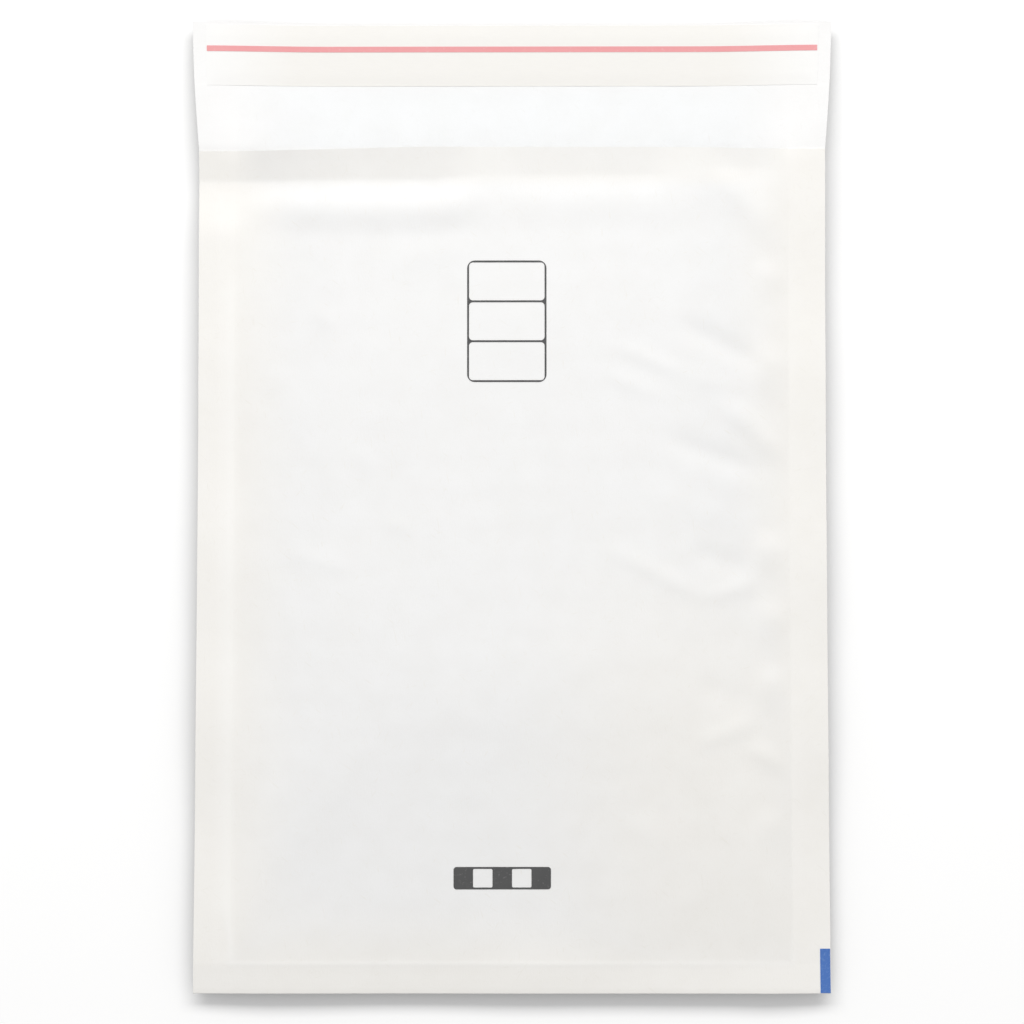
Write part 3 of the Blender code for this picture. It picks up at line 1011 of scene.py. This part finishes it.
dome_radius = node_math("MULTIPLY", start["Diameter"], 0.5)
dome_height = node_math("MINIMUM", start["Height"], room_here)
dome_scale = add_node(
    bubble_tree, "ShaderNodeCombineXYZ", {0: dome_radius, 1: dome_radius, 2: dome_height}
)
dome_turn = add_node(
    bubble_tree, "FunctionNodeAlignRotationToVector", {"Vector": drop.outputs["Hit Normal"]}, axis="Z"
)
on_film = add_node(
    bubble_tree, "GeometryNodeSetPosition",
    {"Geometry": points.outputs[0], "Position": drop.outputs["Hit Position"]},
)
domes = add_node(
    bubble_tree, "GeometryNodeInstanceOnPoints",
    {
        "Points": on_film.outputs[0], "Selection": useful.outputs[0], "Instance": dome.outputs[0],
        "Rotation": dome_turn.outputs[0], "Scale": dome_scale.outputs[0],
    },
)
print("faces of one dome:", DOME_FACES)

# %% [markdown]
# The film is clear and glossy, with a faint haze and fine drawn lines from the roll. Glass-like
# transmission would be exact but hides behind itself in four layers, so some plain reflection is
# left in: the shader lets a fixed share of the light through.

# %% The film's material and the two sides of bubbles
FILM_CLEAR = 0.65

clear_film, film_tree, film_shader, film_place = new_material("clear_film", 0.16, 0.5)
film_shader.inputs["Transmission Weight"].default_value = FILM_CLEAR
film_shader.inputs["IOR"].default_value = 1.40
haze = noise(film_tree, film_place, 220.0, 3.0)
drawn_lines = stretched_noise(film_tree, film_place, 0, 420.0, 3.0, 5.0)
film_base = mixed(
    film_tree, ranged(film_tree, haze, 0.3, 0.7, 0.0, 1.0),
    (0.90, 0.925, 0.935, 1.0), (0.96, 0.97, 0.975, 1.0),
)
film_bumps = [(haze, 0.00006), (drawn_lines, 0.00002)]
dress(film_tree, film_shader, film_base, drawn_lines, 0.10, 0.26, film_bumps)

realized = add_node(bubble_tree, "GeometryNodeRealizeInstances", {0: domes.outputs[0]})
covered = add_node(
    bubble_tree, "GeometryNodeSetMaterial",
    {"Geometry": realized.outputs[0], "Material": start["Material"]},
)
add_node(bubble_tree, "NodeGroupOutput", {0: covered.outputs[0]})


def grown(tree, carrier, name, settings):
    """Runs a tree on a copy of the carrier's mesh and keeps the result as a plain mesh."""
    holder = add_object(name, carrier.data.copy())
    modifier = holder.modifiers.new("grown", "NODES")
    modifier.node_group = tree
    for item in tree.interface.items_tree:
        if item.item_type == "SOCKET" and item.in_out == "INPUT" and item.name in settings:
            modifier[item.identifier] = settings[item.name]
    return made_plain(holder)


film.data.materials.append(clear_film)
film.data.materials.append(clear_film)
thicken(film, FILM_SHEET, 1.0)
made_plain(film)
bubbles_above = grown(bubble_tree, film, "bubbles_above", {"Side": 1.0, "Material": clear_film})
bubbles_below = grown(bubble_tree, film, "bubbles_below", {"Side": -1.0, "Material": clear_film})
print("bubbles above:", len(bubbles_above.data.polygons) // DOME_FACES)
print("bubbles below:", len(bubbles_below.data.polygons) // DOME_FACES)

# %% Tie the liner
for part in (film, bubbles_above, bubbles_below):
    tie(part, "bubble_liner")

# %% [markdown]
# ## The sealing strip
#
# A band of hot-melt adhesive lies across the flap, under a siliconed paper that is peeled off
# before use. A red line is printed along that paper. All three follow the flap, one on the other,
# so one function drapes a band over it at a given lift. The strip was laid a trace out of square.

# %% Drape bands over the flap
STRIP_LENGTH = 0.1634
STRIP_TILT = 0.0012
STRIP_STEP = 0.0013
GLUE_WIDTH = 0.0100
GLUE_LENGTH = 0.1574
GLUE_THICKNESS = 0.00012
GLUE_SOLID = 0.00008
GLUE_EDGE = 0.75
GLUE_EDGE_RUN = 0.0015
GLUE_PRESSED_RUN = 0.001
GLUE_WAVES = (23, 0.009, 0.00001)
RELEASE_WIDTH = 0.0162
RELEASE_TO_TIP = 0.0006
RELEASE_PAPER = 0.00005
RELEASE_OVER_GLUE = 0.00003
RELEASE_OVER_FLAP = 0.00002
RELEASE_FREE = 0.0030
RELEASE_WAVES = (31, 0.030, 0.00002)
RED_WIDTH = 0.0015
RED_TO_TIP = 0.00695
RED_TO_END = 0.0003
INK = 0.00003
HAIR = 0.00003


def flap_face(x, y):
    """The side of the flap that shows when it lies open."""
    return back_face(x, y) + PAPER


def draped_band(name, half_length, low_y, high_y, rows, lift, thickness, material):
    """A band over the flap. lift gives its upper side's height over the flap's paper."""
    columns = grid_lines(-half_length, half_length, STRIP_STEP)
    lines = np.linspace(low_y, high_y, rows + 1)[::-1]
    x, y = np.meshgrid(columns, lines)
    turned_y = y + STRIP_TILT * x
    z = flap_face(x, turned_y) + lift(x, y)
    band = grid_object(name, x * drawn_in(turned_y), turned_y, z)
    band.data.materials.append(material)
    thicken(band, thickness, -1.0).material_offset = 0
    return made_plain(band)


release_top = TIP_Y - RELEASE_TO_TIP - STRIP_TILT * STRIP_LENGTH / 2
release_low = release_top - RELEASE_WIDTH
glue_top = release_top - (RELEASE_WIDTH - GLUE_WIDTH) / 2
glue_low = glue_top - GLUE_WIDTH


def glue_lift(x, y):
    """The band of glue bulges a little along its middle and is pressed in patches."""
    edge = np.minimum(np.minimum(y - glue_low, glue_top - y), GLUE_LENGTH / 2 - np.abs(x))
    pressed = waves(x, y, *GLUE_WAVES)
    full = GLUE_EDGE + (1 - GLUE_EDGE) * ease(edge, GLUE_EDGE_RUN)
    return GLUE_THICKNESS * full + pressed * ease(edge, GLUE_PRESSED_RUN)


def release_lift(x, y):
    """The release paper lies on the glue, and its free edges drop towards the flap."""
    edge = np.minimum(np.minimum(y - release_low, release_top - y), STRIP_LENGTH / 2 - np.abs(x))
    over_glue = GLUE_THICKNESS + RELEASE_OVER_GLUE + RELEASE_PAPER
    at_edge = RELEASE_OVER_FLAP + RELEASE_PAPER
    free = 1 - ease(edge, RELEASE_FREE)
    lifted = np.maximum(waves(x, y, *RELEASE_WAVES) * free, -RELEASE_OVER_FLAP / 2)
    return over_glue + (at_edge - over_glue) * free + lifted


def red_lift(x, y):
    """The red line lies a hair over the release paper."""
    return release_lift(x, y) + HAIR + INK


print("release paper from", round(1000 * release_low, 1), "to", round(1000 * release_top, 1), "mm")

# %% [markdown]
# The release paper is smooth and satin, a shade warmer than the flap, with faint lines from the
# roll, and paler at its ends. The adhesive is honey-coloured and tacky. The red is a thin printed
# line, which the glossy paper takes a little unevenly.

# %% Finishes of the strip
PALE_FROM = 0.058
SPECK_SCALE = 1500.0

release, tree, shader, place = new_material("silicone_paper", 0.34, 0.45)
rolled = stretched_noise(tree, place, 90, 380.0, 3.0, 7.0)
mottle = noise(tree, place, 240.0, 3.0)
along = add_node(tree, "ShaderNodeSeparateXYZ", {0: place}).outputs[0]
from_middle = combined(tree, "ABSOLUTE", along, 0.0)
near_end = ranged(tree, from_middle, PALE_FROM, STRIP_LENGTH / 2, 0.0, 1.0)
base = mixed(tree, rolled, (0.852, 0.834, 0.798, 1.0), (0.876, 0.862, 0.831, 1.0))
base = mixed(tree, near_end, base, (0.893, 0.889, 0.880, 1.0))
dress(tree, shader, base, mottle, 0.30, 0.40, [(mottle, 0.00004), (rolled, 0.00001)])

glue, tree, shader, place = new_material("hot_melt_glue", 0.24, 0.5)
strings = stretched_noise(tree, place, 90, 300.0, 3.0, 6.0)
base = mixed(tree, strings, (0.84, 0.79, 0.62, 1.0), (0.90, 0.87, 0.72, 1.0))
dress(tree, shader, base, strings, 0.18, 0.34, [(strings, 0.00006)])


def printed_ink(name, colour, bare, least, open_from):
    """Ink on paper: solid for the most part, thinner in clouds and open in small specks."""
    material, tree, shader, place = new_material(name, 0.5, 0.35)
    specks = noise(tree, place, SPECK_SCALE, 4.0, 0.7)
    clouds = noise(tree, place, 160.0, 3.0)
    thin = ranged(tree, clouds, 0.3, 0.7, 0.0, 0.04)
    open_share = ranged(tree, specks, open_from, open_from + 0.4, least, 1.0)
    share = combined(tree, "ADD", open_share, thin)
    dress(tree, shader, mixed(tree, share, colour, bare), specks, 0.42, 0.62, [(specks, 0.00001)])
    return material


red_ink = printed_ink("red_ink_on_silicone", (0.80, 0.31, 0.325, 1.0), (0.88, 0.78, 0.76, 1.0), 0.06, 0.60)
glue_band = draped_band(
    "glue_band", GLUE_LENGTH / 2, glue_low, glue_top, 10, glue_lift, GLUE_SOLID, glue
)
release_strip = draped_band(
    "release_strip", STRIP_LENGTH / 2, release_low, release_top, 14, release_lift, RELEASE_PAPER, release
)
red_middle = TIP_Y - RED_TO_TIP - STRIP_TILT * STRIP_LENGTH / 2
red_low = red_middle - RED_WIDTH / 2
red_stripe = draped_band(
    "red_stripe", STRIP_LENGTH / 2 - RED_TO_END, red_low, red_low + RED_WIDTH, 3, red_lift, INK, red_ink
)
tie(glue_band, "adhesive_strip")
tie(release_strip, "release_paper")
tie(red_stripe, "red_line")

# %% [markdown]
# ## The prints
#
# Two fields on the front panel carry generic print: a framed panel of plain cells near the mouth
# and a short strip of filled and open fields near the bottom. A third is a small blue mark at the
# end of the bottom fold, which a cutting machine looks for. Ink could be painted in the paper's
# material, but each is its own piece of the model, so it is a thin film cut from a flat outline
# and laid over the paper.

# %% Cut and lay a printed field
LONGEST_EDGE = 0.0022
PRINT_LIFT = 0.00003


def rounded_outline(curve, centre, size, radius, steps=6):
    """Adds a closed line round a rectangle with rounded corners."""
    points = []
    for side_x, side_y, first in ((1, 1, 0), (-1, 1, 90), (-1, -1, 180), (1, -1, 270)):
        for k in range(steps + 1):
            turn = math.radians(first + 90 * k / steps)
            px = centre[0] + side_x * (size[0] / 2 - radius) + radius * math.cos(turn)
            py = centre[1] + side_y * (size[1] / 2 - radius) + radius * math.sin(turn)
            points.append((px, py, 0.0, 1.0))
    spline = curve.splines.new("POLY")
    spline.points.add(len(points) - 1)
    for point, co in zip(spline.points, points):
        point.co = co
    spline.use_cyclic_u = True


def printed_field(name, outlines, material):
    """Fills the outlines, divides the faces finely and lays them over the front panel."""
    curve = bpy.data.curves.new(name, "CURVE")
    curve.dimensions = "2D"
    curve.fill_mode = "FRONT"
    for centre, size, radius in outlines:
        rounded_outline(curve, centre, size, radius)
    flat = add_object(name + "_outline", curve)
    bpy.context.view_layer.update()
    seen = flat.evaluated_get(bpy.context.evaluated_depsgraph_get())
    mesh = bpy.data.meshes.new_from_object(seen)
    bpy.data.objects.remove(flat)
    bm = bmesh.new()
    bm.from_mesh(mesh)
    bmesh.ops.remove_doubles(bm, verts=bm.verts, dist=1e-6)
    for _ in range(6):
        bmesh.ops.triangulate(bm, faces=bm.faces)
        long_edges = [edge for edge in bm.edges if edge.calc_length() > LONGEST_EDGE]
        if long_edges:
            bmesh.ops.subdivide_edges(bm, edges=long_edges, cuts=1)
    bmesh.ops.triangulate(bm, faces=bm.faces)
    for face in bm.faces:
        if face.normal.z < 0:
            face.normal_flip()
    flat_x = np.array([vert.co.x for vert in bm.verts])
    flat_y = np.array([vert.co.y for vert in bm.verts])
    z = front_face(flat_x, flat_y) + PRINT_LIFT + INK
    x = flat_x * drawn_in(flat_y)
    for vert, co in zip(bm.verts, zip(x, flat_y, z)):
        vert.co = co
    bm.to_mesh(mesh)
    bm.free()
    mesh.materials.clear()
    mesh.materials.append(material)
    field = add_object(name, mesh)
    thicken(field, INK, -1.0).material_offset = 0
    return made_plain(field)


# %% The ruled panel
PANEL_SIZE = (0.0214, 0.0322)
PANEL_CORNER = 0.0020
PANEL_LINE = 0.0005
PANEL_CELLS = 3
PANEL_CENTRE = (-0.0014, LIP_Y - 0.0462)

dark_ink = printed_ink("dark_ink_on_kraft", (0.073, 0.073, 0.074, 1.0), (0.30, 0.295, 0.29, 1.0), 0.0, 0.58)
cell_width = PANEL_SIZE[0] - 2 * PANEL_LINE
cell_height = (PANEL_SIZE[1] - PANEL_LINE) / PANEL_CELLS - PANEL_LINE
panel_outlines = [(PANEL_CENTRE, PANEL_SIZE, PANEL_CORNER)]
for k in range(PANEL_CELLS):
    y = PANEL_CENTRE[1] + (k - (PANEL_CELLS - 1) / 2) * (cell_height + PANEL_LINE)
    panel_outlines.append(((PANEL_CENTRE[0], y), (cell_width, cell_height), PANEL_CORNER / 2))
cell_panel = printed_field("cell_panel", panel_outlines, dark_ink)
tie(cell_panel, "ruled_panel")

# %% The strip of fields
TONE_SIZE = (0.0260, 0.0060)
TONE_CORNER = 0.0008
TONE_LINE = 0.0005
TONE_WINDOWS = 2
TONE_CENTRE = (-0.0026, BOTTOM_Y + 0.0310)

tone_pitch = TONE_SIZE[0] / (2 * TONE_WINDOWS + 1)
tone_outlines = [(TONE_CENTRE, TONE_SIZE, TONE_CORNER)]
for k in range(TONE_WINDOWS):
    x = TONE_CENTRE[0] + (2 * k - TONE_WINDOWS + 1) * tone_pitch
    tone_outlines.append(((x, TONE_CENTRE[1]), (tone_pitch, TONE_SIZE[1] - 2 * TONE_LINE), TONE_CORNER / 2))
tone_fields = printed_field("tone_fields", tone_outlines, dark_ink)
tie(tone_fields, "tone_strip")

# %% The blue mark
MARK_SIZE = (0.0027, 0.0118)
MARK_TO_EDGE = 0.0001
MARK_CORNER = 0.0001

blue_ink = printed_ink("blue_ink_on_kraft", (0.062, 0.162, 0.475, 1.0), (0.20, 0.34, 0.62, 1.0), 0.0, 0.52)
mark_centre = (HALF_WIDTH - MARK_TO_EDGE - MARK_SIZE[0] / 2, fold_start + MARK_SIZE[1] / 2)
corner_mark = printed_field("corner_mark", [(mark_centre, MARK_SIZE, MARK_CORNER)], blue_ink)
tie(corner_mark, "edge_mark")
